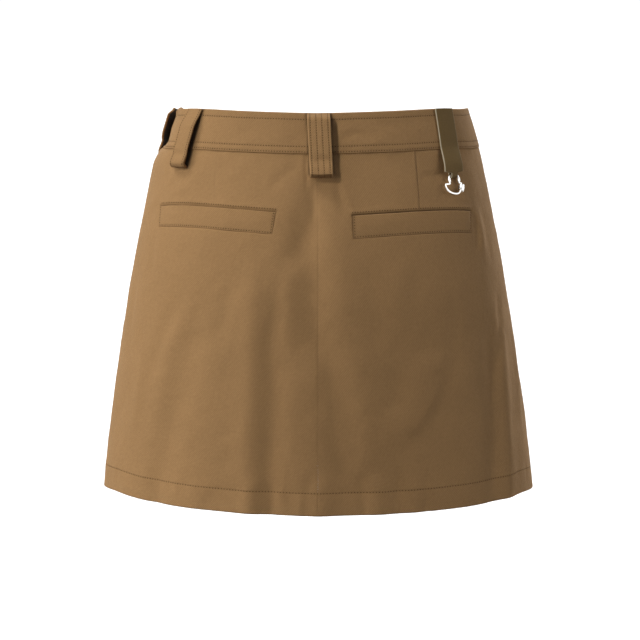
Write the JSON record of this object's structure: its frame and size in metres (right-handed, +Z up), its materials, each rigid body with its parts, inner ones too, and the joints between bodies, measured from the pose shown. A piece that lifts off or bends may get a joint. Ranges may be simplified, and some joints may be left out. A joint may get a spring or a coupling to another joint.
{
  "type": "golf skort",
  "caption": "Short A-line golf skort of cotton twill, filled out as if worn, with waistband, belt loops, welt pockets, a ring on a strap, and inner shorts.",
  "frame": {"origin": "middle of the waist opening, half way down the height of the waistband at the sides, on the axis of the wearer's body", "axes": "+X towards the wearer's left, +Y out of the back, +Z up the wearer's body"},
  "size_m": [0.388, 0.283, 0.3483],
  "materials": {
    "twill": "matte brown cotton twill with a fine diagonal weave",
    "strap": "smooth olive-brown tape with pale cut edges",
    "jersey": "matte thin jersey",
    "button": "satin horn-coloured plastic",
    "metal": "polished nickel"
  },
  "bodies": {
    "garment": {"back_left": "twill", "back_right": "twill", "front_left": "twill", "front_right": "twill", "band_back": "twill", "band_front_left": "twill", "band_front_right": "twill", "loop_back": "twill", "loop_back_left": "twill", "loop_front_left": "twill", "loop_front_right": "twill", "welt_left": "twill", "welt_right": "twill", "strap": "strap", "button": "button", "shorts_left": "jersey", "shorts_right": "jersey"},
    "ring": {"ring": "metal"}
  },
  "joints": [
    {"name": "ring_swing", "type": "hinge", "parent": "garment", "child": "ring", "pos_m": [-0.11808, 0.07434, -0.03487], "axis": [0.7371, 0.6757, 0], "range_deg": [0, 110]}
  ]
}
